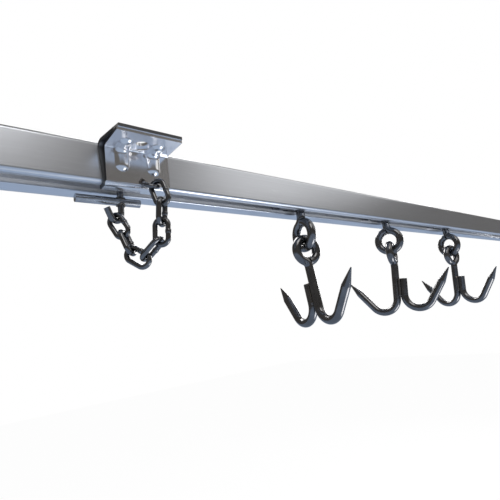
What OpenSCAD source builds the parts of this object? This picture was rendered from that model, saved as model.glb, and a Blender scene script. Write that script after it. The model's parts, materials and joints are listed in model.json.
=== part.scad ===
// Overhead meat rail with a fixing bracket, a chained parking stop and
// three sliding trolleys that each carry a swivelling double hook.
// X runs along the rail, Y points away from the bracket's flange, Z is up.
// The origin is the fixing hole's centre on the flange's upper face.
// All sizes are in millimetres.

/* [Rail] */
// Length of the rail
rail_len = 1210; // [700:5:2000]
// Left end of the rail to the fixing hole
rail_start = 130; // [80:5:300]
// Outside width of the rail
rail_w = 48; // [44:1:70]
// Outside height of the rail
rail_h = 40; // [38:1:60]
// Wall thickness of the rail
wall = 2.5; // [2:0.5:4]
// Outside corner radius of the rail
rail_corner = 4; // [3:0.5:6]
// Clear width of the slot under the rail
slot_w = 20; // [16:1:24]
// Rise of the two lips towards the slot, in degrees
lip_slope = 16; // [8:1:20]
// Height of the upturned edges beside the slot
lip_rise = 3.5; // [2:0.5:5]

/* [Bracket] */
// Thickness of the bracket's two sheets
sheet = 3; // [2:0.5:5]
// Half length of the bracket along the rail
bracket_half = 31.6; // [25:0.2:50]
// Extra length of the outer sheet at the bend
saddle_over = 4; // [0:0.5:10]
// Amount that the outer sheet tapers towards its lower edge
saddle_taper = 3.6; // [0:0.2:8]
// Amount that the outer sheet tapers towards its front edge
flange_taper = 6; // [0:0.5:10]
// Reach of the flange in front of the rail
flange_reach = 38; // [30:1:60]
// Front edge of the inner sheet behind that of the outer one
inner_back = 1; // [0.5:0.5:8]
// Fixing hole to the rail's front face
hole_reach = 17; // [15:0.5:28]
// Diameter of the fixing hole
hole_d = 11; // [6:0.5:14]
// Diameter of the wider hole in the inner sheet
hole_rim_d = 16.8; // [13:0.1:17]
// Inside bend radius of the outer sheet
bend_r = 5; // [3.5:0.5:8]
// Depth of the return lip under the rail
under_lip = 9; // [5:0.5:12]
// Inside bend radius of that return lip
under_bend = 1.5; // [0.5:0.5:3]
// Distance of each pressed rib from the fixing hole
rib_x = 15.5; // [12:0.5:22]
// Radius of the pressed ribs
rib_r = 8; // [6:0.5:8]
// Height of the pressed ribs above the sheet
rib_up = 4; // [2:0.5:4.5]
// Length of each rib on the flange, up to its round end
rib_flange = 12; // [10:0.5:20]
// Length of each rib down the plate, up to its round end
rib_plate = 16.6; // [12:0.2:22]
// Bend radius of each rib across the corner
rib_bend = 12; // [10:0.5:14]

/* [Chain] */
// Wire of the chain
chain_d = 5; // [3:0.5:7]
// Pitch of the chain
chain_pitch = 19.5; // [18:0.5:30]
// Outside width of a chain link
chain_w = 18; // [17:0.5:24]
// Slack between neighbouring links
chain_slack = 0.3; // [0.2:0.05:0.6]
// Turn of each link from straight down, in degrees
chain_turn = [-16.6, 6.2, 4, 50, 125.6, 159, 151.6];
// Wire of the chain's staple
staple_d = 4; // [3:0.5:4]
// Middle of the staple to the fixing hole along the rail
staple_x = 9.4; // [6:0.1:20]
// Height of the staple's feet above the rail's underside
staple_z = 2.7; // [2:0.1:5]
// Bend radius of the staple
staple_r = 6.5; // [6:0.5:9]
// Straight length of the staple's legs
staple_leg = 6.2; // [5:0.1:9]
// Droop of the staple, in degrees
staple_droop = 36; // [20:1:40]
// Slack between the staple and the first link
staple_slack = 1.2; // [1:0.05:1.5]

/* [Parking stop] */
// Diameter of the stop's hooked rod
stop_d = 6; // [5:0.5:6]
// Diameter of the grip bar under the rail
grip_d = 8; // [6:0.5:12]
// Grip bar's left end to the rod
grip_left = 42.4; // [20:0.2:80]
// Grip bar's right end to the rod
grip_right = 19.4; // [14:0.2:80]
// Grip bar's axis below the rail's underside
grip_drop = 8; // [6:0.5:16]
// Bend radius of the rod's open hook
stop_bend = 8; // [7:0.5:14]
// Straight end of the rod's open hook
stop_end = 8; // [4:0.5:15]
// Outward lean of that end, in degrees
stop_lean = 30; // [0:1:40]
// Turn of the open hook against the chain, in degrees
stop_skew = 12; // [0:1:16]
// Length of the stop's head across the rail
head_w = 34; // [26:1:40]
// Length of the stop's head along the rail
head_l = 20; // [12:1:40]
// Thickness of the stop's head
head_t = 6; // [4:0.5:10]

/* [Trolleys] */
// Position of each trolley from the fixing hole
trolley_x = [248, 461, 687.5];
// Turn of each hook about its upright axis, in degrees
hook_turn = [78, -70.5, -98];
// Length of a trolley body
body_l = 64; // [50:1:90]
// Width of a trolley body
body_w = 17; // [13:0.5:18]
// Height of a trolley body
body_h = 16.5; // [14:0.5:19]
// Height of a trolley body's underside in the rail
body_z = 9; // [8:0.5:11]
// Corner chamfer of a trolley body
body_bevel = 4; // [1:0.5:6]
// Each axle to the end of the trolley body
axle_inset = 12; // [9:0.5:13]
// Diameter of the axles
axle_d = 8; // [5:0.5:9]
// Diameter of the axles' flat heads
axle_head_d = 11; // [9:0.5:14]
// Thickness of the axles' flat heads
axle_head_t = 1.4; // [1:0.1:2]
// Mean rolling radius of the wheels
wheel_r = 12; // [9:0.5:13]
// Diameter of each wheel's inner boss
boss_d = 12.5; // [10:0.5:13]
// Space between a wheel and its track
track_gap = 0.3; // [0.2:0.05:0.5]
// Radial play of the wheels on their axles
wheel_play = 0.06; // [0.02:0.01:0.1]
// Radial play of the parts that stay still
fit_play = 0.03; // [0.02:0.01:0.06]
// Side play beside the wheels
side_play = 0.4; // [0.3:0.05:0.6]
// Space between the axle heads and the rail's sides
wall_gap = 0.9; // [0.5:0.1:1.5]
// Space between the wheels and the upturned edges
lip_gap = 0.7; // [0.5:0.1:1.5]

/* [Hooks] */
// Rod of the eye bolts and of the hooks
rod_d = 12; // [8:0.5:12]
// Radial play of the eye bolt in the trolley body
swivel_play = 0.06; // [0.02:0.01:0.1]
// Eye bolt's eye centre below the rail's underside
eye_drop = 28.7; // [24:0.1:50]
// Mean radius of the eye bolt's eye
eye_r = 18; // [16:0.5:26]
// Neck bend radius of the eye bolt's eye
eye_neck = 12; // [10:0.5:20]
// Mean radius of the hook's own eye
ring_r = 16; // [13:0.5:22]
// Neck bend radius of the hook's own eye
ring_neck = 10; // [8:0.5:16]
// End of each eye to its neck, in degrees
eye_gap = 28; // [26:1:36]
// Space between the two linked eyes
eye_space = 0.3; // [0.3:0.05:1]
// Space between the shank and the second rod
rod_gap = 0.2; // [0.1:0.05:0.5]
// Swelling of the rod where two bends meet
joint_swell = 0.1; // [0.05:0.05:0.1]
// Height of the hook's arms, from the arm's lowest line to the eye rod
hook_drop = 106.8; // [95:0.1:160]
// Bend radius of the arms
arm_bend = 22; // [16:1:40]
// Lean of the arms from upright, in degrees
arm_lean = 36; // [20:1:50]
// Straight length of an arm up to its taper
arm_len = 35; // [10:1:70]
// Length of the tapered point
tip_len = 24; // [12:1:40]
// Diameter at the end of the point
tip_d = 1.6; // [1:0.1:4]
// Length of the second rod along the shank
splice_len = 27; // [20:1:40]
// Washer's outside diameter
washer_d = 24; // [20:0.5:30]
// Washer's thickness
washer_t = 2.2; // [1.5:0.1:3]
// Nut's width across its flats
nut_flats = 18; // [16:0.5:22]
// Nut's height
nut_h = 6.5; // [5:0.5:7]
// Thread left above the nut
thread_over = 1.5; // [0.5:0.1:1.5]
// Space under the washer
seat_gap = 0.1; // [0.05:0.05:0.2]

/* [Hidden] */
$fn = 72;
rail_y = rail_w / 2 + hole_reach;
rail_front = -rail_w / 2;
lip_root = rail_w / 2 - rail_corner;
lip_edge = slot_w / 2 + wall / 2;
lip_run = (lip_root - lip_edge) / cos(lip_slope);
lip_up = (lip_root - lip_edge) * tan(lip_slope);
lip_top = wall / 2 + lip_up + lip_rise + wall / 2;
axle_half = rail_w / 2 - wall - wall_gap - axle_head_t;
wheel_out = axle_half - side_play / 2;
wheel_in = slot_w / 2 + wall + lip_gap;
wheel_w = wheel_out - wheel_in;
wheel_y = (wheel_out + wheel_in) / 2;
axle_gap = body_l - 2 * axle_inset;
track_z = wall / 2 + wall / 2 / cos(lip_slope) + (lip_root - wheel_y) * tan(lip_slope);
saddle_x = bracket_half + saddle_over;
inner_face = rail_front - sheet;
plate_face = inner_face - sheet;
flange_front = rail_front - flange_reach;
inner_bend = bend_r + sheet / 8;
rib_y = plate_face + rib_r - rib_up;
rib_z = rail_h - 2 * sheet + rib_r - rib_up;
hole_y = -rail_y;
link_r = (chain_w - chain_d) / 2;
link_s = (chain_pitch + chain_d) / 2 - link_r;
link_reach = link_s + 2 * link_r - chain_d - chain_slack;
links = len(chain_turn);
top_hang = link_r - chain_d / 2 - staple_d / 2 - staple_slack;
end_hang = link_r - chain_d / 2 - stop_d / 2 - chain_slack;
axle_z = track_z + track_gap + wheel_r;
boss_in = body_w / 2 + side_play;
body_top = body_z + body_h;
washer_z = body_top + seat_gap;
nut_z = washer_z + washer_t;
eye_rod_z = -eye_drop - eye_r;
ring_z = eye_rod_z + rod_d + eye_space - ring_r;
arm_low = eye_rod_z - hook_drop;
arm_z = arm_low + rod_d / 2 + arm_bend;
ring_foot = ring_z - neck_h(ring_r, ring_neck);
rod_pair = rod_d + rod_gap;
shank_lean = asin(rod_pair / 2 / (ring_foot - arm_z));
arm_x = (arm_bend + rod_pair / 2) / cos(shank_lean);
shank_len = (ring_foot - arm_z) * cos(shank_lean) + arm_x * sin(shank_lean);

// Height of an eye's centre from the start of its neck bend
function neck_h(r, neck) = sqrt(r * r + 2 * r * neck);

// Direction of a chain link in the chain's hanging plane
function heading(i) = [sin(chain_turn[i]), -cos(chain_turn[i])];

// Length that a link adds on the side of an odd or an even neighbour
function half_step(i) = i % 2 == 0 ? link_s : link_reach;

// Centre of a chain link in the hanging plane, from the staple's wire
function link_at(i) = i == 0
    ? [0, -top_hang] + link_s * heading(0)
    : link_at(i - 1) + half_step(i - 1) * heading(i - 1) + half_step(i) * heading(i);

// Middle of the stop's hook in the hanging plane
chain_end = link_at(links - 1) + link_s * heading(links - 1) + [0, end_hang];
chain_out = chain_end[0] - staple_r * cos(staple_droop) - stop_bend * sin(stop_skew);
chain_side = stop_bend * cos(stop_skew);
chain_plane = 180 + atan(chain_side / chain_out)
    - asin((staple_leg * cos(staple_droop) - plate_face) / norm([chain_out, chain_side]));

// Point of the staple's wire that carries the first link
hang_out = staple_leg + staple_r * sin(chain_plane);
hang_x = staple_x - staple_r * cos(chain_plane);
hang_y = plate_face - hang_out * cos(staple_droop);
hang_z = staple_z - hang_out * sin(staple_droop);
stop_turn = chain_plane + 90 - stop_skew;
stop_x = hang_x + chain_end[0] * cos(chain_plane) - stop_bend * cos(stop_turn);
stop_hook_z = hang_z + chain_end[1] + stop_bend;

// Places a part on the rail's centre line at the rail's underside
module at_rail() translate([0, rail_y, -rail_h]) children();

// Places a part on a trolley
module at_trolley(i) at_rail() translate([trolley_x[i], 0, 0]) children();

// Places a part that turns with a trolley's hook
module at_hook(i) at_trolley(i) rotate(hook_turn[i]) children();

// Runs a section drawn across the rail along it
module along_x(from, to) translate([from, 0, 0]) rotate([90, 0, 90])
    linear_extrude(to - from) children();

// Bent rod in the upright plane, between two angles
module rod_arc(radius, d, from, to) rotate([90, 0, 0]) rotate([0, 0, from])
    rotate_extrude(angle = to - from) translate([radius, 0]) circle(d = d);

// Upright rod between two heights
module rod_up(d, from, to) translate([0, 0, from]) cylinder(d = d, h = to - from);

// Bar with rounded ends
module round_bar(r, h) rotate_extrude() intersection() {
    union() {
        square([r, h]);
        circle(r = r);
        translate([0, h]) circle(r = r);
    }
    translate([0, -r]) square([r, h + 2 * r]);
}

// Rectangle with rounded corners that stands on the axis
module round_box(w, h, r) {
    translate([-w / 2, r]) square([w, h - 2 * r]);
    translate([r - w / 2, 0]) square([w - 2 * r, h]);
    for (x = [r - w / 2, w / 2 - r], z = [r, h - r]) translate([x, z]) circle(r = r);
}

// Quarter of a bent sheet around its bend centre
module sheet_bend(inside) intersection() {
    difference() {
        circle(r = inside + sheet);
        circle(r = inside);
    }
    square(inside + sheet);
}

// Rail
module rail_lip() translate([lip_root, wall / 2]) {
    circle(d = wall);
    rotate(180 - lip_slope) translate([0, -wall / 2]) square([lip_run, wall]);
    rotate(180 - lip_slope) translate([lip_run, 0]) circle(d = wall);
    translate([lip_edge - lip_root - wall / 2, lip_up]) square([wall, lip_rise]);
    translate([lip_edge - lip_root, lip_up + lip_rise]) circle(d = wall);
}

module rail() color("silver") at_rail() along_x(-rail_start, rail_len - rail_start) {
    difference() {
        round_box(rail_w, rail_h, rail_corner);
        translate([0, wall]) round_box(rail_w - 2 * wall, rail_h - 2 * wall, rail_corner - wall);
        translate([-lip_root, -wall]) square([2 * lip_root, 3 * wall]);
    }
    rail_lip();
    mirror([1, 0]) rail_lip();
}

// Bracket
module saddle_section() {
    translate([inner_face, under_bend]) square([sheet, rail_h - bend_r - sheet - under_bend]);
    translate([inner_face - bend_r, rail_h - sheet - bend_r]) sheet_bend(bend_r);
    translate([flange_front, rail_h - sheet])
        square([flange_reach - bend_r - sheet, sheet]);
    translate([rail_front + under_bend, under_bend]) rotate(180) sheet_bend(under_bend);
    translate([rail_front + under_bend, -sheet]) square([under_lip - under_bend, sheet]);
}

module saddle() color("gainsboro") at_rail() difference() {
    along_x(-saddle_x, bracket_half) saddle_section();
    translate([0, rail_front + under_lip + sheet, 0]) rotate([90, 0, 0])
        linear_extrude(under_lip + bend_r + 3 * sheet)
        polygon([[-saddle_x, rail_h], [saddle_taper - saddle_x, -sheet],
            [saddle_taper - saddle_x, -2 * sheet], [-saddle_x - sheet, -2 * sheet],
            [-saddle_x - sheet, rail_h]]);
    translate([0, 0, rail_h - 2 * sheet]) linear_extrude(3 * sheet)
        polygon([[-saddle_x, rail_front], [flange_taper - saddle_x, flange_front],
            [flange_taper - saddle_x, flange_front - sheet],
            [-saddle_x - sheet, flange_front - sheet], [-saddle_x - sheet, rail_front]]);
    translate([0, hole_y, rail_h - 2 * sheet]) cylinder(d = hole_d, h = 3 * sheet);
}

module angle_section() {
    translate([plate_face, 0]) square([sheet, rail_h - 2 * sheet - inner_bend + sheet]);
    translate([inner_face - inner_bend, rail_h - sheet - inner_bend])
        sheet_bend(inner_bend - sheet);
    translate([flange_front + inner_back, rail_h - 2 * sheet])
        square([flange_reach - inner_back - sheet - inner_bend, sheet]);
}

module pressed_rib() translate([0, rib_y - rib_bend, rib_z - rib_bend]) {
    translate([0, rib_bend, rail_h - 2 * sheet - rib_plate - rib_z + rib_bend])
        round_bar(rib_r, rib_plate + rib_z - rib_bend - rail_h + 2 * sheet);
    translate([0, 0, rib_bend]) rotate([90, 0, 0])
        round_bar(rib_r, rib_flange - plate_face + rib_y - rib_bend);
    rotate([0, 0, 90]) rod_arc(rib_bend, 2 * rib_r, 0, 90);
}

module flange_angle() color("lightsteelblue") at_rail() difference() {
    union() {
        along_x(-bracket_half + inner_back / 2, bracket_half) angle_section();
        intersection() {
            for (x = [-rib_x, rib_x]) translate([x, 0, 0]) pressed_rib();
            translate([-bracket_half, flange_front, 0])
                cube([2 * bracket_half, inner_face - 2 * sheet / 3 - flange_front,
                    rail_h - sheet - 2 * sheet / 3]);
        }
    }
    translate([0, hole_y, rail_h - 3 * sheet]) cylinder(d = hole_rim_d, h = 3 * sheet);
}

// Chain
module chain_staple() color("dimgray") at_rail() translate([staple_x, plate_face, staple_z])
    difference() {
    rotate([staple_droop, 0, 0]) {
        for (x = [-staple_r, staple_r]) translate([x, -staple_leg, 0]) rotate([-90, 0, 0])
            cylinder(d = staple_d, h = staple_leg + staple_d);
        translate([0, -staple_leg, 0]) rotate([0, 0, 180]) rotate_extrude(angle = 180)
            translate([staple_r, 0]) circle(d = staple_d);
    }
    translate([-2 * staple_r, 0, -2 * staple_r]) cube(4 * staple_r);
}

module chain_ring() for (turn = [0, 180]) rotate([0, turn, 0]) {
    translate([0, 0, link_s]) rod_arc(link_r, chain_d, 0, 180);
    translate([link_r, 0, -link_s]) cylinder(d = chain_d, h = 2 * link_s);
}

module chain_link(i) color("slategray") at_rail() translate([hang_x, hang_y, hang_z])
    rotate(chain_plane) translate([link_at(i)[0], 0, link_at(i)[1]])
    rotate([0, -chain_turn[i], 0]) rotate(90 * (i % 2)) chain_ring();

// Parking stop
module at_stop() at_rail() translate([stop_x, 0, 0]) children();

module grip_bar() translate([-grip_left, 0, -grip_drop]) rotate([0, 90, 0])
    cylinder(d = grip_d, h = grip_left + grip_right);

module stop_head() color("dimgray") at_stop() difference() {
    translate([-head_l / 2, -head_w / 2, lip_top]) cube([head_l, head_w, head_t]);
    rod_up(stop_d + 2 * fit_play, 0, lip_top + 2 * head_t);
}

module stop_stem() color("slategray") at_stop() difference() {
    rod_up(stop_d, -grip_drop, lip_top + head_t);
    grip_bar();
}

module stop_grip() color("silver") at_stop() grip_bar();

module stop_hook() color("slategray") at_stop() difference() {
    rotate(stop_turn) {
        rod_up(stop_d, stop_hook_z, -grip_drop);
        translate([stop_bend, 0, stop_hook_z]) {
            rod_arc(stop_bend, stop_d, 180, 360 - stop_lean);
            rotate([0, stop_lean, 0]) translate([stop_bend, 0, 0]) {
                sphere(d = stop_d + joint_swell);
                cylinder(d = stop_d, h = stop_end);
            }
        }
    }
    grip_bar();
}

// Trolleys
module trolley_body(i) color("darkgray") at_trolley(i) difference() {
    translate([0, body_w / 2, 0]) rotate([90, 0, 0]) linear_extrude(body_w) polygon([
        [-body_l / 2, body_z + body_bevel], [body_bevel - body_l / 2, body_z],
        [body_l / 2 - body_bevel, body_z], [body_l / 2, body_z + body_bevel],
        [body_l / 2, body_top - body_bevel], [body_l / 2 - body_bevel, body_top],
        [body_bevel - body_l / 2, body_top], [-body_l / 2, body_top - body_bevel]]);
    rod_up(rod_d + 2 * swivel_play, body_z - body_h, body_top + body_h);
    for (x = [-axle_gap / 2, axle_gap / 2]) translate([x, body_w, axle_z])
        rotate([90, 0, 0]) cylinder(d = axle_d + 2 * fit_play, h = 2 * body_w);
}

module axle(i, side) color("silver") at_trolley(i)
    translate([side * axle_gap / 2, 0, axle_z]) rotate([90, 0, 0]) {
    translate([0, 0, -axle_half]) cylinder(d = axle_d, h = 2 * axle_half);
    for (z = [-axle_half - axle_head_t, axle_half]) translate([0, 0, z])
        cylinder(d = axle_head_d, h = axle_head_t);
}

module wheel_half() {
    bore_r = axle_d / 2 + wheel_play;
    cone = wheel_w / 2 * tan(lip_slope);
    rotate([-90, 0, 0]) rotate_extrude() polygon([[bore_r, boss_in], [boss_d / 2, boss_in],
        [boss_d / 2, wheel_y - wheel_w / 2], [wheel_r - cone, wheel_y - wheel_w / 2],
        [wheel_r + cone, wheel_y + wheel_w / 2], [bore_r, wheel_y + wheel_w / 2]]);
}

module wheel(i, side, face) color("gray") at_trolley(i)
    translate([side * axle_gap / 2, 0, axle_z]) mirror([0, face, 0]) wheel_half();

module washer(i) color("silver") at_trolley(i) difference() {
    translate([0, 0, washer_z]) cylinder(d = washer_d, h = washer_t);
    rod_up(rod_d + 2 * fit_play, body_z, nut_z + nut_h);
}

module nut(i) color("silver") at_hook(i) difference() {
    translate([0, 0, nut_z]) cylinder(d = nut_flats / cos(30), h = nut_h, $fn = 6);
    rod_up(rod_d + 2 * fit_play, body_z, nut_z + 2 * nut_h);
}

// Hooks
module rod_joint(x, z) translate([x, 0, z]) sphere(d = rod_d + joint_swell);

module formed_eye(r, neck) {
    lean = atan(neck_h(r, neck) / neck);
    rod_joint(0, neck_h(r, neck));
    rod_joint(r * cos(lean), r * sin(lean));
    translate([neck, 0, neck_h(r, neck)]) rod_arc(neck, rod_d, 180, 180 + lean);
    rod_arc(r, rod_d, lean - 360 + eye_gap, lean);
}

module eye_bolt(i) color("dimgray") at_hook(i) {
    rod_up(rod_d, neck_h(eye_r, eye_neck) - eye_drop, nut_z + nut_h + thread_over);
    translate([0, 0, -eye_drop]) formed_eye(eye_r, eye_neck);
}

module hook_point() {
    cylinder(d = rod_d, h = arm_len);
    translate([0, 0, arm_len]) cylinder(d1 = rod_d, d2 = tip_d, h = tip_len);
}

module hook_arm_rod(from) translate([arm_x, 0, arm_z]) {
    rod_joint(arm_bend * cos(from), arm_bend * sin(from));
    rod_arc(arm_bend, rod_d, from, 360 - arm_lean);
    rod_joint(arm_bend * cos(arm_lean), -arm_bend * sin(arm_lean));
    rotate([0, arm_lean, 0]) translate([arm_bend, 0, 0]) hook_point();
}

module hook(i) color("dimgray") at_hook(i) {
    translate([0, 0, ring_z]) rotate([180, 0, 90]) formed_eye(ring_r, ring_neck);
    translate([0, 0, ring_foot]) rotate([0, 180 + shank_lean, 0])
        cylinder(d = rod_d, h = shank_len);
    mirror([1, 0, 0]) hook_arm_rod(180 + shank_lean);
}

module hook_arm(i) color("dimgray") at_hook(i) {
    translate([arm_x, 0, arm_z]) rotate([0, shank_lean, 0]) translate([-arm_bend, 0, 0])
        cylinder(d = rod_d, h = splice_len);
    hook_arm_rod(180 - shank_lean);
}

rail();
saddle();
flange_angle();
chain_staple();
chain_link(0);  // chain_link_1
chain_link(1);  // chain_link_2
chain_link(2);  // chain_link_3
chain_link(3);  // chain_link_4
chain_link(4);  // chain_link_5
chain_link(5);  // chain_link_6
chain_link(6);  // chain_link_7
stop_head();
stop_stem();
stop_grip();
stop_hook();
trolley_body(0);  // body_1
axle(0, -1);  // axle_1a
axle(0, 1);  // axle_1b
wheel(0, -1, 0);  // wheel_1a
wheel(0, -1, 1);  // wheel_1b
wheel(0, 1, 0);  // wheel_1c
wheel(0, 1, 1);  // wheel_1d
washer(0);  // washer_1
nut(0);  // nut_1
eye_bolt(0);  // eye_bolt_1
hook(0);  // hook_1
hook_arm(0);  // hook_arm_1
trolley_body(1);  // body_2
axle(1, -1);  // axle_2a
axle(1, 1);  // axle_2b
wheel(1, -1, 0);  // wheel_2a
wheel(1, -1, 1);  // wheel_2b
wheel(1, 1, 0);  // wheel_2c
wheel(1, 1, 1);  // wheel_2d
washer(1);  // washer_2
nut(1);  // nut_2
eye_bolt(1);  // eye_bolt_2
hook(1);  // hook_2
hook_arm(1);  // hook_arm_2
trolley_body(2);  // body_3
axle(2, -1);  // axle_3a
axle(2, 1);  // axle_3b
wheel(2, -1, 0);  // wheel_3a
wheel(2, -1, 1);  // wheel_3b
wheel(2, 1, 0);  // wheel_3c
wheel(2, 1, 1);  // wheel_3d
washer(2);  // washer_3
nut(2);  // nut_3
eye_bolt(2);  // eye_bolt_3
hook(2);  // hook_3
hook_arm(2);  // hook_arm_3
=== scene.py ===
import json
import math

import bmesh
import bpy
import numpy as np
from mathutils import Matrix, Vector


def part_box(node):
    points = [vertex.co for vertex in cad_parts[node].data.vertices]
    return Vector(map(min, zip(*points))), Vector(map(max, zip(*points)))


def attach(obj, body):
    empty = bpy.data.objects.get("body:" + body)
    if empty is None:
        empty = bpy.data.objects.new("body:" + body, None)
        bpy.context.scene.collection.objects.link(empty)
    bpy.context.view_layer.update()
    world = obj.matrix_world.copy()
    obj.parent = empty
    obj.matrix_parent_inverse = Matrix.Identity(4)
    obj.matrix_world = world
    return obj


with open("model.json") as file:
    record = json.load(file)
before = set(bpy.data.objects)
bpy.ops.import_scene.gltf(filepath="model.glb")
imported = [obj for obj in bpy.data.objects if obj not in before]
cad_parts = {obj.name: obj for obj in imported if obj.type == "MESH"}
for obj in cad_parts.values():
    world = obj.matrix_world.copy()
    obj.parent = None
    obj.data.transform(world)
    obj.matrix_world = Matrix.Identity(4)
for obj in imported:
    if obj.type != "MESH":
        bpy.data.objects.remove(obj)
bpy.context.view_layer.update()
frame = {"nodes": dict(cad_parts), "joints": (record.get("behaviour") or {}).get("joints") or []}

bl_info = {
    "name": "Meat rail dressing",
    "version": (1, 0, 0),
    "blender": (4, 5, 0),
    "location": "View3D > Sidebar > Meat rail",
    "description": "Finishes, welds and stage for a meat rail with sliding hook trolleys",
    "category": "Object",
}

MM = 0.001
UP = Vector((0.0, 0.0, 1.0))
WHITE = (1.0, 1.0, 1.0)
NODES = frame["nodes"]
TROLLEYS = (1, 2, 3)
WHEELS = "abcd"
LINKS = range(1, 8)

# Ripple of a bead: turn at each step, and shares of its radius at its tips and beside them
RIPPLE_TURN = 2.2
RIPPLE_TIP = 0.35
RIPPLE_NECK = 0.8

# Seam weld of a hook, from the lowest point of its second rod
SEAM_FOOT = 28 * MM
SEAM_LEAN = math.radians(6.855)
SEAM_SIDE = 4.3 * MM
SEAM_STEP = 1.05 * MM
SEAM_STEPS = 30

# Welds that close an eye bolt's eye and a hook's ring, from the point where the hook swings
EYE_RISE = 18 * MM
EYE_NOTCH = 14.2 * MM
RING_DROP = 3.7 * MM
RING_NOTCH = 12.2 * MM
NOTCH_TURN = math.radians(84)
NOTCH_STEP = 1 * MM
NOTCH_STEPS = 10

# Butt weld of a chain link: steps along its wire, each with its share of the swell
LINK_WIRE = 2.5 * MM
LINK_SIDE = 6.5 * MM
LINK_WELD = ((-2.2 * MM, -0.4), (-1.7 * MM, 0.35), (-0.9 * MM, 0.9), (0.0, 1.0),
             (0.9 * MM, 0.9), (1.7 * MM, 0.35), (2.2 * MM, -0.4))

# Ring welds at the staple's feet and on the grip bar
STAPLE_HALF = 6.5 * MM
STAPLE_FRONT = 0.5 * MM
STAPLE_DROP = 2.47 * MM
STAPLE_RING = (2.3 * MM, 2.8 * MM)
STEM_RING = 3.4 * MM
GRIP_RADIUS = 4 * MM
RING_STEPS = 28
RING_WAVES = 9
RING_SWELL = 0.14

# Faces that the finishes find by their place: the bracket's cut edges, which get a painted shade,
# and the rail's inside
SHADED_EDGE_SKIN = 0.2 * MM
WALL_SKIN = 1.2 * MM
LIP_SLOPE = 0.287
LIP_RISE = (6.7 * MM, 8.2 * MM)

# Sockets of a Mix node that blends colours: their names repeat for every data type
MIX_FACTOR = 0
MIX_FIRST = 6
MIX_SECOND = 7
MIX_RESULT = 2

# Floor and backdrop, and what polished metal mirrors of them
FLOOR_HALF = 6.0
FLOOR_TINT = (0.86, 0.86, 0.86, 1.0)
FLOOR_GLOW = 0.95
FLOOR_MIRRORED = (0.34, 0.43, 0.58)
ROOM_LIGHT = (0.8, 0.8, 0.8)
ROOM_AHEAD = (0.63, 0.75, 0.20)
ROOM_STOPS = ((0.93, (0.14, 0.135, 0.13)), (0.94, (0.96, 0.96, 0.96)))

# Each lamp's place and size
LAMPS = {
    "key": ((0.84, -0.45, 0.61), 0.85),
    "fill": ((-0.16, -1.1, 1.12), 0.8),
    "rim": ((2.4, 0.95, 0.55), 0.9),
    "top": ((0.5, 0.9, 0.8), 0.6),
    "low": ((0.6, -0.4, -0.7), 0.4),
}
LAMP_AIM = Vector((0.25, 0.04, -0.06))

# Camera that was fitted to the photo, with its angles in radians
CAMERA_PLACE = (-0.1486, -0.3134, -0.18709)
CAMERA_YAW = 0.6969297
CAMERA_PITCH = 0.2019268
CAMERA_ROLL = -0.1357874
SENSOR_WIDTH = 36.0


def joint(name):
    """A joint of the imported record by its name."""
    return next(j for j in frame["joints"] if j["name"] == name)


def middle(node):
    """Centre of a node's box."""
    low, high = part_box(node)
    return (low + high) / 2


# Settings

class FinishSettings(bpy.types.PropertyGroup):
    """Colours and roughness of the metal finishes."""
    rail_tint: bpy.props.FloatVectorProperty(
        name="Rail", description="Colour of the rail's satin metal", subtype="COLOR",
        default=(0.77, 0.79, 0.83), min=0.0, max=1.0)
    sheet_tint: bpy.props.FloatVectorProperty(
        name="Bracket", description="Colour of the bracket's polished sheet", subtype="COLOR",
        default=(0.88, 0.88, 0.895), min=0.0, max=1.0)
    rod_tint: bpy.props.FloatVectorProperty(
        name="Hooks", description="Colour of the hooks and eye bolts", subtype="COLOR",
        default=(0.19, 0.187, 0.188), min=0.0, max=1.0)
    chain_tint: bpy.props.FloatVectorProperty(
        name="Chain", description="Colour of the chain, its staple and the stop's rods",
        subtype="COLOR", default=(0.19, 0.187, 0.188), min=0.0, max=1.0)
    grip_tint: bpy.props.FloatVectorProperty(
        name="Grip", description="Colour of the grip bar", subtype="COLOR",
        default=(0.46, 0.46, 0.47), min=0.0, max=1.0)
    turned_tint: bpy.props.FloatVectorProperty(
        name="Turned parts", description="Colour of the trolleys", subtype="COLOR",
        default=(0.50, 0.50, 0.52), min=0.0, max=1.0)
    weld_tint: bpy.props.FloatVectorProperty(
        name="Welds", description="Colour of the weld beads", subtype="COLOR",
        default=(0.16, 0.15, 0.14), min=0.0, max=1.0)
    rail_rough: bpy.props.FloatProperty(
        name="Rail roughness", description="Roughness of the rail's satin metal",
        default=0.30, min=0.05, max=0.9, subtype="FACTOR")
    rod_rough: bpy.props.FloatProperty(
        name="Hook roughness", description="Roughness of the hooks and eye bolts",
        default=0.17, min=0.05, max=0.9, subtype="FACTOR")


class WeldSettings(bpy.types.PropertyGroup):
    """Sizes of the weld beads."""
    seam_bead: bpy.props.FloatProperty(
        name="Seam bead", description="Radius of a hook's seam weld",
        default=0.0024, min=0.001, max=0.004, unit="LENGTH")
    ring_bead: bpy.props.FloatProperty(
        name="Ring bead", description="Radius of the ring welds at the rod joints",
        default=0.0011, min=0.0005, max=0.002, unit="LENGTH")
    eye_bead: bpy.props.FloatProperty(
        name="Eye bead", description="Radius of the weld that closes an eye",
        default=0.0022, min=0.001, max=0.004, unit="LENGTH")
    link_swell: bpy.props.FloatProperty(
        name="Link swell", description="Height of a chain link's butt weld above its wire",
        default=0.0004, min=0.0001, max=0.001, unit="LENGTH")


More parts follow.
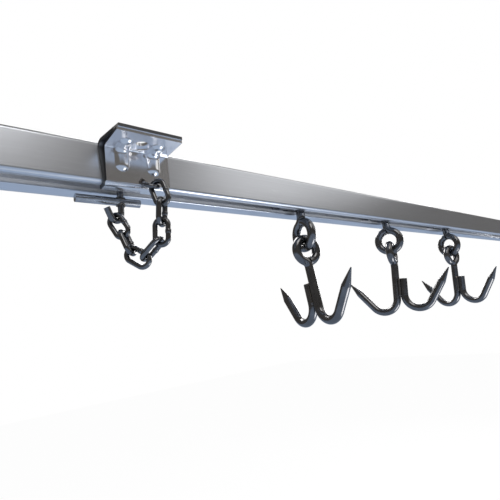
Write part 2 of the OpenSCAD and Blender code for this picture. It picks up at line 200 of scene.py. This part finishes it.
class StageSettings(bpy.types.PropertyGroup):
    """Camera, floor and light levels."""
    lens: bpy.props.FloatProperty(
        name="Lens", description="Focal length of the camera in millimetres",
        default=28.08, min=15.0, max=120.0)
    floor_height: bpy.props.FloatProperty(
        name="Floor", description="Height of the floor under the rail",
        default=-0.95, min=-3.0, max=-0.3, unit="LENGTH")
    key_power: bpy.props.FloatProperty(
        name="Key light", description="Power of the key light",
        default=1.7, min=0.0, max=200.0)
    fill_power: bpy.props.FloatProperty(
        name="Fill light", description="Power of the fill light",
        default=4.4, min=0.0, max=200.0)
    rim_power: bpy.props.FloatProperty(
        name="Rim light", description="Power of the rim light",
        default=20.0, min=0.0, max=200.0)
    top_power: bpy.props.FloatProperty(
        name="Top light", description="Power of the light above and behind",
        default=9.0, min=0.0, max=200.0)
    low_power: bpy.props.FloatProperty(
        name="Low light", description="Power of the low front light",
        default=2.0, min=0.0, max=200.0)


# Materials

class Nodes:
    """Short calls that add and join the nodes of one shader tree."""

    def __init__(self, owner):
        owner.use_nodes = True
        self.tree = owner.node_tree
        self.tree.nodes.clear()

    def add(self, kind, **settings):
        """Adds a node with its settings."""
        node = self.tree.nodes.new(kind)
        for key, value in settings.items():
            setattr(node, key, value)
        return node

    def link(self, start, end):
        """Joins an output to an input."""
        self.tree.links.new(start, end)

    def feed(self, socket, value):
        """Joins an input to another node's output, or sets its value."""
        if isinstance(value, bpy.types.NodeSocket):
            self.link(value, socket)
        else:
            socket.default_value = value

    def math(self, operation, *values):
        """One step of arithmetic on outputs and numbers."""
        node = self.add("ShaderNodeMath", operation=operation)
        for socket, value in zip(node.inputs, values):
            self.feed(socket, value)
        return node.outputs["Value"]

    def spread(self, value, low, high, start=0.0, end=1.0):
        """Maps a value that runs from start to end onto the range from low to high."""
        node = self.add("ShaderNodeMapRange")
        node.inputs["From Min"].default_value = start
        node.inputs["From Max"].default_value = end
        node.inputs["To Min"].default_value = low
        node.inputs["To Max"].default_value = high
        self.link(value, node.inputs["Value"])
        return node.outputs["Result"]

    def ramp(self, value, stops):
        """Shades a value between two stops, each with a place and a grey or a colour."""
        node = self.add("ShaderNodeValToRGB")
        for element, (place, tone) in zip(node.color_ramp.elements, stops):
            element.position = place
            element.color = (*tone, 1.0) if isinstance(tone, tuple) else (tone, tone, tone, 1.0)
        self.link(value, node.inputs["Fac"])
        return node.outputs["Color"]

    def mix(self, factor, first, second):
        """Blends two colours, each an output or a plain tint."""
        node = self.add("ShaderNodeMix", data_type="RGBA")
        self.link(factor, node.inputs[MIX_FACTOR])
        for place, colour in ((MIX_FIRST, first), (MIX_SECOND, second)):
            self.feed(node.inputs[place], (*colour, 1.0) if isinstance(colour, tuple) else colour)
        return node.outputs[MIX_RESULT]

    def seen(self, rays):
        """1 for the rays that show the background: camera, glossy and transmission."""
        shown = self.math("MAXIMUM", rays["Is Camera Ray"], rays["Is Glossy Ray"])
        return self.math("MAXIMUM", shown, rays["Is Transmission Ray"])


class Surface(Nodes):
    """Nodes of one material, with its shader and the place on the object."""

    def __init__(self, name):
        self.material = bpy.data.materials.new(name)
        super().__init__(self.material)
        self.out = self.add("ShaderNodeOutputMaterial")
        self.shader = self.add("ShaderNodeBsdfPrincipled")
        self.link(self.shader.outputs["BSDF"], self.out.inputs["Surface"])
        self.place = self.add("ShaderNodeTexCoord").outputs["Object"]

    def stretch(self, scale):
        """The place, scaled along each axis."""
        node = self.add("ShaderNodeMapping")
        node.inputs["Scale"].default_value = scale
        self.link(self.place, node.inputs["Vector"])
        return node.outputs["Vector"]

    def noise(self, scale, detail, vector=None, rough=0.55):
        """Noise at the place, or at a stretched one."""
        node = self.add("ShaderNodeTexNoise")
        node.inputs["Scale"].default_value = scale
        node.inputs["Detail"].default_value = detail
        node.inputs["Roughness"].default_value = rough
        self.link(vector or self.place, node.inputs["Vector"])
        return node.outputs["Fac"]

    def axes(self):
        """The three axes of the place."""
        node = self.add("ShaderNodeSeparateXYZ")
        self.link(self.place, node.inputs["Vector"])
        return node.outputs

    def away(self, value, low, high):
        """Distance of a value from the middle of a range."""
        return self.math("ABSOLUTE", self.math("SUBTRACT", value, (low + high) / 2))

    def shaded_cut_edge(self):
        """1 on the bracket's sheared edges, which get a painted shade: both ends along X and the
        front.
        """
        low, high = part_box("flange_angle")
        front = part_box("saddle")[0].y
        axes = self.axes()
        ends = self.math("GREATER_THAN", self.away(axes["X"], low.x, high.x),
                         (high.x - low.x) / 2 - SHADED_EDGE_SKIN)
        return self.math("MAXIMUM", ends, self.math("LESS_THAN", axes["Y"], front + SHADED_EDGE_SKIN))

    def inside_rail(self):
        """1 on the rail's inner faces, above its sloping lips and within its walls."""
        low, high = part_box("rail")
        axes = self.axes()
        off = self.away(axes["Y"], low.y, high.y)
        start, end = LIP_RISE
        above = self.spread(self.math("MULTIPLY_ADD", off, LIP_SLOPE, axes["Z"]), 0.0, 1.0,
                            low.z + start, low.z + end)
        within = self.math("MULTIPLY",
                           self.math("LESS_THAN", off, (high.y - low.y) / 2 - WALL_SKIN),
                           self.math("LESS_THAN", axes["Z"], high.z - WALL_SKIN))
        return self.math("MULTIPLY", above, within)

    def bump(self, height, depth, strength):
        """Roughens the shader's normal."""
        node = self.add("ShaderNodeBump")
        node.inputs["Strength"].default_value = strength
        node.inputs["Distance"].default_value = depth
        self.link(height, node.inputs["Height"])
        self.link(node.outputs["Normal"], self.shader.inputs["Normal"])

    def set(self, **sockets):
        """Joins or sets the shader's inputs by name."""
        for key, value in sockets.items():
            self.feed(self.shader.inputs[key.replace("_", " ")], value)


def shade(tint, *factors):
    """A tint made lighter or darker, by one factor or by one for each channel."""
    return tuple(min(1.0, c * f) for c, f in zip(tint, factors * 3))


def satin_rail(finish):
    """Drawn metal with fine lines along the rail, faint handling marks and a dull inside."""
    n = Surface("satin_rail")
    tint = tuple(finish.rail_tint)
    lines = n.noise(60.0, detail=5.0, vector=n.stretch((0.02, 9.0, 9.0)), rough=0.6)
    cloud = n.noise(9.0, detail=4.0, vector=n.stretch((0.6, 1.0, 1.0)))
    handled = n.noise(340.0, detail=2.0, vector=n.stretch((0.12, 1.0, 1.0)))
    marks = n.ramp(handled, ((0.60, 0.0), (0.72, 1.0)))
    drawn = n.mix(lines, shade(tint, 0.93), shade(tint, 1.06))
    clouded = n.mix(n.spread(cloud, 0.0, 0.35), drawn, shade(tint, 0.86))
    n.set(Base_Color=n.mix(n.spread(marks, 0.0, 0.25), clouded, shade(tint, 1.18)),
          Metallic=n.spread(n.inside_rail(), 1.0, 0.45),
          Roughness=n.spread(cloud, finish.rail_rough - 0.07, finish.rail_rough + 0.08))
    n.bump(lines, depth=0.00008, strength=0.5)
    return n.material


def polished_sheet(finish):
    """Bright pressed sheet with wiping marks, a soft stain and dull sheared edges with a painted
    shade.
    """
    n = Surface("polished_sheet")
    tint = tuple(finish.sheet_tint)
    wiped = n.noise(70.0, detail=4.0, vector=n.stretch((0.25, 1.0, 2.2)), rough=0.6)
    stain = n.noise(26.0, detail=5.0)
    ground = n.mix(wiped, shade(tint, 0.90), shade(tint, 1.10))
    stained = n.ramp(stain, ((0.42, 0.0), (0.70, 0.45)))
    face = n.mix(stained, ground, shade(tint, 0.80, 0.76, 0.72))
    # Sheared edges: a duller finish, and a painted shade from a near-black copy of the tint
    edge = n.shaded_cut_edge()
    n.set(Base_Color=n.mix(edge, face, shade(tint, 0.16)), Metallic=1.0,
          Roughness=n.math("MAXIMUM", n.spread(stain, 0.10, 0.26), n.spread(edge, 0.0, 0.5)))
    n.bump(n.noise(34.0, detail=2.0), depth=0.0004, strength=0.16)
    return n.material


def polished_rod(name, tint, rough):
    """Polished rod with fine draw marks, specks and worn patches."""
    n = Surface(name)
    tint = tuple(tint)
    grain = n.noise(420.0, detail=4.0, rough=0.65)
    patch = n.noise(55.0, detail=4.0)
    specks = n.ramp(n.noise(900.0, detail=1.0), ((0.70, 0.0), (0.78, 1.0)))
    ground = n.mix(grain, shade(tint, 0.82), shade(tint, 1.14))
    worn = n.mix(n.ramp(patch, ((0.48, 0.0), (0.66, 0.6))), ground, shade(tint, 1.45))
    n.set(Base_Color=n.mix(n.spread(specks, 0.0, 0.5), worn, shade(tint, 0.40)),
          Metallic=1.0, Roughness=n.spread(patch, rough - 0.05, rough + 0.10))
    n.bump(grain, depth=0.00006, strength=0.35)
    return n.material


def turned_steel(finish):
    """Turned steel with fine tool marks and oily patches."""
    n = Surface("turned_steel")
    tint = tuple(finish.turned_tint)
    marks = n.noise(900.0, detail=2.0, vector=n.stretch((1.0, 0.15, 1.0)))
    oil = n.noise(80.0, detail=3.0)
    ground = n.mix(marks, shade(tint, 0.85), shade(tint, 1.1))
    n.set(Base_Color=n.mix(n.ramp(oil, ((0.5, 0.0), (0.75, 0.5))), ground, shade(tint, 0.55)),
          Metallic=1.0, Roughness=n.spread(oil, 0.22, 0.42))
    n.bump(marks, depth=0.00005, strength=0.4)
    return n.material


def weld_metal(finish):
    """Weld bead with a straw to brown heat tint."""
    n = Surface("weld_metal")
    tint = tuple(finish.weld_tint)
    heat = n.noise(160.0, detail=3.0)
    crust = n.noise(1500.0, detail=3.0)
    n.set(Base_Color=n.mix(heat, shade(tint, 0.75, 0.72, 0.72), shade(tint, 1.3, 1.22, 1.10)),
          Metallic=1.0, Roughness=n.spread(crust, 0.26, 0.46))
    n.bump(crust, depth=0.0001, strength=0.4)
    return n.material


def dress(nodes, material):
    """Gives CAD nodes a finish."""
    for name in nodes:
        slots = NODES[name].data.materials
        slots.clear()
        slots.append(material)


# Meshes

def add_object(name, data):
    """Puts new data into the scene as an object."""
    obj = bpy.data.objects.new(name, data)
    bpy.context.scene.collection.objects.link(obj)
    return obj


def mesh_object(name, mesh, material):
    """Makes an object of a built mesh, in one material."""
    data = bpy.data.meshes.new(name)
    mesh.to_mesh(data)
    mesh.free()
    data.materials.append(material)
    return add_object(name, data)


def piece(name, mesh, material, body):
    """Makes one smooth piece that rides on a body."""
    bmesh.ops.remove_doubles(mesh, verts=mesh.verts, dist=1e-7)
    bmesh.ops.recalc_face_normals(mesh, faces=mesh.faces)
    for face in mesh.faces:
        face.smooth = True
    obj = mesh_object(name, mesh, material)
    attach(obj, body)


def bead(mesh, points, radii, closed=False, sides=12):
    """Adds a tube along a path, made of circles joined end to end."""
    count = len(points)
    rings = []
    for k, point in enumerate(points):
        before = points[k - 1] if closed or k else points[0]
        after = points[(k + 1) % count] if closed or k < count - 1 else points[-1]
        turn = (after - before).to_track_quat("Z", "X").to_matrix().to_4x4()
        made = bmesh.ops.create_circle(mesh, radius=radii[k], segments=sides,
                                       matrix=Matrix.Translation(point) @ turn)
        rings.append(list({edge for vert in made["verts"] for edge in vert.link_edges}))
    pairs = list(zip(rings, rings[1:]))
    if closed:
        pairs.append((rings[-1], rings[0]))
    for first, second in pairs:
        bmesh.ops.bridge_loops(mesh, edges=first + second)
    if not closed:
        bmesh.ops.holes_fill(mesh, edges=rings[0] + rings[-1], sides=sides)


def ripple(count, radius, wave=0.12):
    """Radii of a weld bead that swells and shrinks, with thin ends."""
    radii = [radius * (1.0 + wave * math.sin(RIPPLE_TURN * k)) for k in range(count)]
    radii[0] = radii[-1] = radius * RIPPLE_TIP
    radii[1] = radii[-2] = radius * RIPPLE_NECK
    return radii


def hook_frame(i):
    """Where a hook swings, the direction across its two arms and the level one through them."""
    swing = joint(f"hook_{i}_swing")
    across = Vector(swing["axis"]).normalized()
    return Vector(swing["pos_m"]), across, UP.cross(across)


def link_frame(i):
    """Centre, length direction and width direction of a chain link."""
    verts = NODES[f"chain_link_{i}"].data.vertices
    cloud = np.array([vert.co[:] for vert in verts])
    centre = (cloud.max(axis=0) + cloud.min(axis=0)) / 2
    spread = np.linalg.eigh(np.cov((cloud - centre).T))[1]
    along, width = Vector(spread[:, 2]), Vector(spread[:, 1])
    return Vector(centre), along, width if width.x > 0 else -width


# Operators

class RAIL_OT_seam_welds(bpy.types.Operator):
    """Lay a weld on both sides of each hook, between its shank and second rod"""
    bl_idname = "meat_rail.seam_welds"
    bl_label = "Seam welds"

    def execute(self, context):
        radius = context.scene.meat_rail_weld.seam_bead
        metal = bpy.data.materials["weld_metal"]
        rising, leaning = math.cos(SEAM_LEAN), math.sin(SEAM_LEAN)
        for i in TROLLEYS:
            centre, across, through = hook_frame(i)
            foot = Vector((centre.x, centre.y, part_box(f"hook_arm_{i}")[0].z + SEAM_FOOT))
            rise = across * leaning + UP * rising
            for side, name in ((-1, "front"), (1, "back")):
                path = [foot + rise * (k * SEAM_STEP) + through * (side * SEAM_SIDE)
                        for k in range(SEAM_STEPS)]
                mesh = bmesh.new()
                bead(mesh, path, ripple(SEAM_STEPS, radius))
                piece(f"seam_weld_{i}_{name}", mesh, metal, f"double_hook_{i}")
        return {"FINISHED"}


class RAIL_OT_eye_welds(bpy.types.Operator):
    """Close the notch inside each formed eye with a short weld"""
    bl_idname = "meat_rail.eye_welds"
    bl_label = "Eye welds"

    def execute(self, context):
        radius = context.scene.meat_rail_weld.eye_bead
        metal = bpy.data.materials["weld_metal"]
        beside, above = math.cos(NOTCH_TURN), math.sin(NOTCH_TURN)
        for i in TROLLEYS:
            centre, across, through = hook_frame(i)
            at_eye = centre + UP * EYE_RISE + (across * beside + UP * above) * EYE_NOTCH
            at_ring = centre - UP * RING_DROP + (through * beside - UP * above) * RING_NOTCH
            for name, place, run, body in (
                    (f"eye_weld_{i}", at_eye, through, f"eye_{i}"),
                    (f"ring_weld_{i}", at_ring, across, f"double_hook_{i}")):
                path = [place + run * ((k - (NOTCH_STEPS - 1) / 2) * NOTCH_STEP)
                        for k in range(NOTCH_STEPS)]
                mesh = bmesh.new()
                bead(mesh, path, ripple(NOTCH_STEPS, radius, wave=0.08))
                piece(name, mesh, metal, body)
        return {"FINISHED"}


class RAIL_OT_link_welds(bpy.types.Operator):
    """Swell one side of each chain link where its wire is butt welded"""
    bl_idname = "meat_rail.link_welds"
    bl_label = "Link welds"

    def execute(self, context):
        swell = context.scene.meat_rail_weld.link_swell
        radii = [LINK_WIRE + swell * share for step, share in LINK_WELD]
        for i in LINKS:
            centre, along, width = link_frame(i)
            seat = centre + width * LINK_SIDE
            mesh = bmesh.new()
            bead(mesh, [seat + along * step for step, share in LINK_WELD], radii, sides=20)
            piece(f"link_weld_{i}", mesh, bpy.data.materials["chain_wire"], "chain")
        return {"FINISHED"}


class RAIL_OT_ring_welds(bpy.types.Operator):
    """Ring the staple's feet and the grip bar's rods with welds"""
    bl_idname = "meat_rail.ring_welds"
    bl_label = "Ring welds"

    def execute(self, context):
        radius = context.scene.meat_rail_weld.ring_bead
        turns = [2 * math.pi * k / RING_STEPS for k in range(RING_STEPS)]
        low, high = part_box("chain_staple")
        wide, tall = STAPLE_RING
        for name, side in (("left", -1), ("right", 1)):
            foot = Vector(((low.x + high.x) / 2 + side * STAPLE_HALF, high.y - STAPLE_FRONT,
                           high.z - STAPLE_DROP))
            path = [foot + Vector((wide * math.cos(a), 0.0, tall * math.sin(a))) for a in turns]
            self.ring(f"staple_weld_{name}", "chain", path, radius)
        stem = middle("stop_stem")
        grip = middle("stop_grip")
        for name, side in (("stem", 1), ("hook", -1)):
            path = []
            for a in turns:
                off = STEM_RING * math.sin(a)
                rise = math.sqrt(GRIP_RADIUS ** 2 - off ** 2)
                path.append(Vector((stem.x + STEM_RING * math.cos(a), stem.y + off,
                                    grip.z + side * rise)))
            self.ring(f"grip_weld_{name}", "stop", path, radius)
        return {"FINISHED"}

    def ring(self, name, slot, path, radius):
        """Lays a closed bead that swells and shrinks."""
        wave = 2 * math.pi * RING_WAVES / len(path)
        radii = [radius * (1.0 + RING_SWELL * math.sin(wave * k)) for k in range(len(path))]
        mesh = bmesh.new()
        bead(mesh, path, radii, closed=True, sides=10)
        piece(name, mesh, bpy.data.materials["weld_metal"], "frame")


class RAIL_OT_finishes(bpy.types.Operator):
    """Give every carried-over node its finish"""
    bl_idname = "meat_rail.finishes"
    bl_label = "Finishes"

    def execute(self, context):
        finish = context.scene.meat_rail_finish
        dress(["rail"], satin_rail(finish))
        dress(["saddle", "flange_angle"], polished_sheet(finish))
        dress(["chain_staple"] + [f"chain_link_{i}" for i in LINKS],
              polished_rod("chain_wire", finish.chain_tint, rough=0.16))
        dress(["stop_head", "stop_stem", "stop_hook"],
              polished_rod("stop_rod", finish.chain_tint, rough=0.24))
        dress(["stop_grip"], polished_rod("grip_rod", finish.grip_tint, rough=0.22))
        rod = polished_rod("hook_rod", finish.rod_tint, finish.rod_rough)
        turned = turned_steel(finish)
        for i in TROLLEYS:
            dress([f"eye_bolt_{i}", f"hook_{i}", f"hook_arm_{i}"], rod)
            dress([f"body_{i}", f"axle_{i}a", f"axle_{i}b", f"washer_{i}", f"nut_{i}"]
                  + [f"wheel_{i}{k}" for k in WHEELS], turned)
        weld_metal(finish)
        return {"FINISHED"}


class RAIL_OT_stage(bpy.types.Operator):
    """Set the floor, lights, backdrop and camera"""
    bl_idname = "meat_rail.stage"
    bl_label = "Stage"

    def execute(self, context):
        scene = context.scene
        stage = scene.meat_rail_stage
        self.floor(stage)
        self.backdrop(scene)
        for name, (place, size) in LAMPS.items():
            self.lamp(name, Vector(place), size, getattr(stage, f"{name}_power"))
        self.camera(scene, stage)
        scene.view_settings.view_transform = "Standard"
        return {"FINISHED"}

    def floor(self, stage):
        """Lays a white floor that polished metal mirrors as a blue grey."""
        mesh = bmesh.new()
        bmesh.ops.create_grid(mesh, x_segments=4, y_segments=4, size=FLOOR_HALF)
        bmesh.ops.translate(mesh, verts=mesh.verts, vec=(0.0, 0.0, stage.floor_height))
        n = Surface("pale_floor")
        n.set(Base_Color=FLOOR_TINT, Roughness=0.9)
        rays = n.add("ShaderNodeLightPath").outputs
        glow = n.add("ShaderNodeEmission")
        n.link(n.mix(rays["Is Glossy Ray"], WHITE, FLOOR_MIRRORED), glow.inputs["Color"])
        both = n.add("ShaderNodeMixShader")
        n.link(n.spread(n.seen(rays), 0.0, FLOOR_GLOW), both.inputs["Fac"])
        n.link(n.shader.outputs["BSDF"], both.inputs[1])
        n.link(glow.outputs["Emission"], both.inputs[2])
        n.link(both.outputs["Shader"], n.out.inputs["Surface"])
        obj = mesh_object("floor", mesh, n.material)

    def backdrop(self, scene):
        """Sets a white world that polished metal mirrors as a dark room, light behind the rail."""
        scene.world = bpy.data.worlds.new("studio")
        n = Nodes(scene.world)
        rays = n.add("ShaderNodeLightPath").outputs
        ahead = n.add("ShaderNodeVectorMath", operation="DOT_PRODUCT")
        ahead.inputs[1].default_value = ROOM_AHEAD
        n.link(n.add("ShaderNodeTexCoord").outputs["Generated"], ahead.inputs[0])
        room = n.ramp(ahead.outputs["Value"], ROOM_STOPS)
        shown = n.mix(rays["Is Glossy Ray"], WHITE, room)
        back = n.add("ShaderNodeBackground")
        n.link(n.mix(n.seen(rays), ROOM_LIGHT, shown), back.inputs["Color"])
        n.link(back.outputs["Background"], n.add("ShaderNodeOutputWorld").inputs["Surface"])

    def lamp(self, name, place, size, power):
        """Adds a square lamp that shines at the rail."""
        data = bpy.data.lights.new(name, "AREA")
        data.size = size
        data.energy = power
        obj = add_object(name, data)
        obj.location = place
        obj.rotation_euler = (LAMP_AIM - place).to_track_quat("-Z", "Y").to_euler()

    def camera(self, scene, stage):
        """Adds the camera that was fitted to the photo."""
        level = math.cos(CAMERA_PITCH)
        ahead = Vector((math.sin(CAMERA_YAW) * level, math.cos(CAMERA_YAW) * level,
                        math.sin(CAMERA_PITCH)))
        right = Vector((math.cos(CAMERA_YAW), -math.sin(CAMERA_YAW), 0.0))
        up = right.cross(ahead)
        across = right * math.cos(CAMERA_ROLL) + up * math.sin(CAMERA_ROLL)
        above = up * math.cos(CAMERA_ROLL) - right * math.sin(CAMERA_ROLL)
        data = bpy.data.cameras.new("camera")
        data.sensor_width = SENSOR_WIDTH
        data.lens = stage.lens
        data.clip_start = 0.01
        obj = add_object("camera", data)
        turn = Matrix((across, above, -ahead)).transposed().to_4x4()
        obj.matrix_world = Matrix.Translation(CAMERA_PLACE) @ turn
        scene.camera = obj


class RAIL_PT_panel(bpy.types.Panel):
    """Lists the steps of the dressing"""
    bl_idname = "RAIL_PT_panel"
    bl_label = "Meat rail"
    bl_space_type = "VIEW_3D"
    bl_region_type = "UI"
    bl_category = "Meat rail"

    def draw(self, context):
        for step in STEPS:
            self.layout.operator(step.bl_idname)


STEPS = (RAIL_OT_finishes, RAIL_OT_seam_welds, RAIL_OT_eye_welds, RAIL_OT_link_welds,
         RAIL_OT_ring_welds, RAIL_OT_stage)
GROUPS = {"meat_rail_finish": FinishSettings, "meat_rail_weld": WeldSettings,
          "meat_rail_stage": StageSettings}


def register():
    for cls in (*GROUPS.values(), *STEPS, RAIL_PT_panel):
        bpy.utils.register_class(cls)
    for name, group in GROUPS.items():
        setattr(bpy.types.Scene, name, bpy.props.PointerProperty(type=group))


def unregister():
    for name in GROUPS:
        delattr(bpy.types.Scene, name)
    for cls in reversed((*GROUPS.values(), *STEPS, RAIL_PT_panel)):
        bpy.utils.unregister_class(cls)


def main():
    register()
    bpy.ops.meat_rail.finishes()
    bpy.ops.meat_rail.seam_welds()
    bpy.ops.meat_rail.eye_welds()
    bpy.ops.meat_rail.link_welds()
    bpy.ops.meat_rail.ring_welds()
    bpy.ops.meat_rail.stage()


if __name__ == "__main__":
    main()
